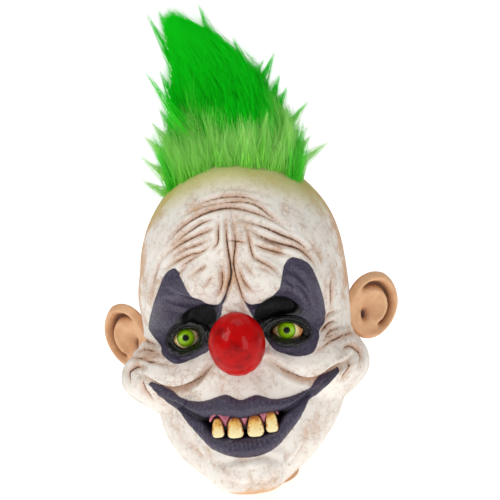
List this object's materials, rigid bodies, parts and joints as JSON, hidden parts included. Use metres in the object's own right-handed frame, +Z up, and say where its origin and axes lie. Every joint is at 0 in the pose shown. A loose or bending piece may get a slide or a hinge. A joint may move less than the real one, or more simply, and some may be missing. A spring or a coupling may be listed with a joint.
{
  "type": "clown mask",
  "caption": "Hollow full-head latex clown mask with a ball nose, wide grin, big ears and a standing fur tuft, resting on its open neck rim",
  "frame": {"origin": "on the ground, under the middle of the bounding box", "axes": "+Z up from the neck rim through the crown, the face looks along -Y, +X is the wearer's left"},
  "size_m": [0.2802, 0.2555, 0.4669],
  "materials": {
    "painted_latex": "off-white painted latex with peach wash, dark creases and slate purple patches",
    "red_gloss": "glossy red lacquer",
    "printed_eye": "glossy, green iris on a yellow white",
    "gum": "wet-look pink brown",
    "tooth": "stained ivory, satin",
    "green_fur": "long bright green fur"
  },
  "bodies": {
    "root": {"mask_skin": "painted_latex", "ball_nose": "red_gloss", "eye_right": "printed_eye", "eye_left": "printed_eye", "upper_gum": "gum", "tooth_1": "tooth", "tooth_2": "tooth", "tooth_3": "tooth", "tooth_4": "tooth", "fur_tuft": "green_fur"}
  },
  "joints": []
}
